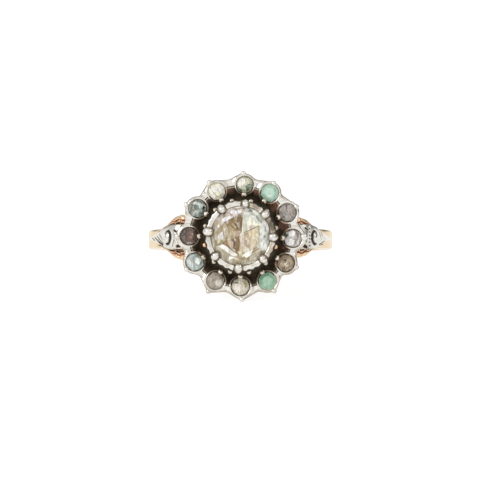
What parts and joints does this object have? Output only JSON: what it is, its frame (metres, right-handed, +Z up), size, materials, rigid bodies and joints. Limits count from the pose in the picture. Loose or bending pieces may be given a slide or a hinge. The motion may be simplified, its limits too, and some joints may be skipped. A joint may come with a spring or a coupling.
{
  "type": "cluster ring",
  "caption": "Antique cluster ring: rose-cut centre stone in a clawed collet, ringed by small round stones in a silver star, on a gold band with split shoulders, lying on its side.",
  "frame": {"origin": "on the table under the middle of the ring as it lies on its side, which is the bottom centre of its box", "axes": "+Z up off the table; -Y is the way the head faces, and the top of the head points up; +X is to the right when the head is looked at from the front. The finger axis leans 16.0 degrees from +Z towards +Y."},
  "size_m": [0.0202, 0.0242, 0.0135],
  "materials": {
    "gold": "polished yellow gold with a rosy tinge, softly worn",
    "silver": "worn silver, bright on top and oxidised dark in the recesses",
    "centre_diamond": "faceted, champagne tint, over a closed back",
    "cream_stone": "faceted and polished, over a closed back",
    "sea_green_stone": "faceted and polished, over a closed back",
    "smoke_stone": "faceted and polished, over a closed back",
    "white_stone": "faceted and polished, over a closed back",
    "brown_stone": "faceted and polished, over a closed back",
    "green_stone": "faceted and polished, over a closed back",
    "champagne_stone": "faceted and polished, over a closed back",
    "taupe_stone": "faceted and polished, over a closed back",
    "mint_stone": "faceted and polished, over a closed back",
    "rose_smoke_stone": "faceted and polished, over a closed back",
    "grey_green_stone": "faceted and polished, over a closed back",
    "ivory_stone": "faceted and polished, over a closed back"
  },
  "bodies": {
    "root": {"gold_shank": "gold", "shoulder_scroll_left": "silver", "shoulder_scroll_right": "silver", "cluster_setting": "silver", "centre_stone": "centre_diamond", "cluster_stone_01": "cream_stone", "cluster_stone_02": "sea_green_stone", "cluster_stone_03": "smoke_stone", "cluster_stone_04": "white_stone", "cluster_stone_05": "brown_stone", "cluster_stone_06": "green_stone", "cluster_stone_07": "champagne_stone", "cluster_stone_08": "taupe_stone", "cluster_stone_09": "mint_stone", "cluster_stone_10": "rose_smoke_stone", "cluster_stone_11": "grey_green_stone", "cluster_stone_12": "ivory_stone"}
  },
  "joints": []
}
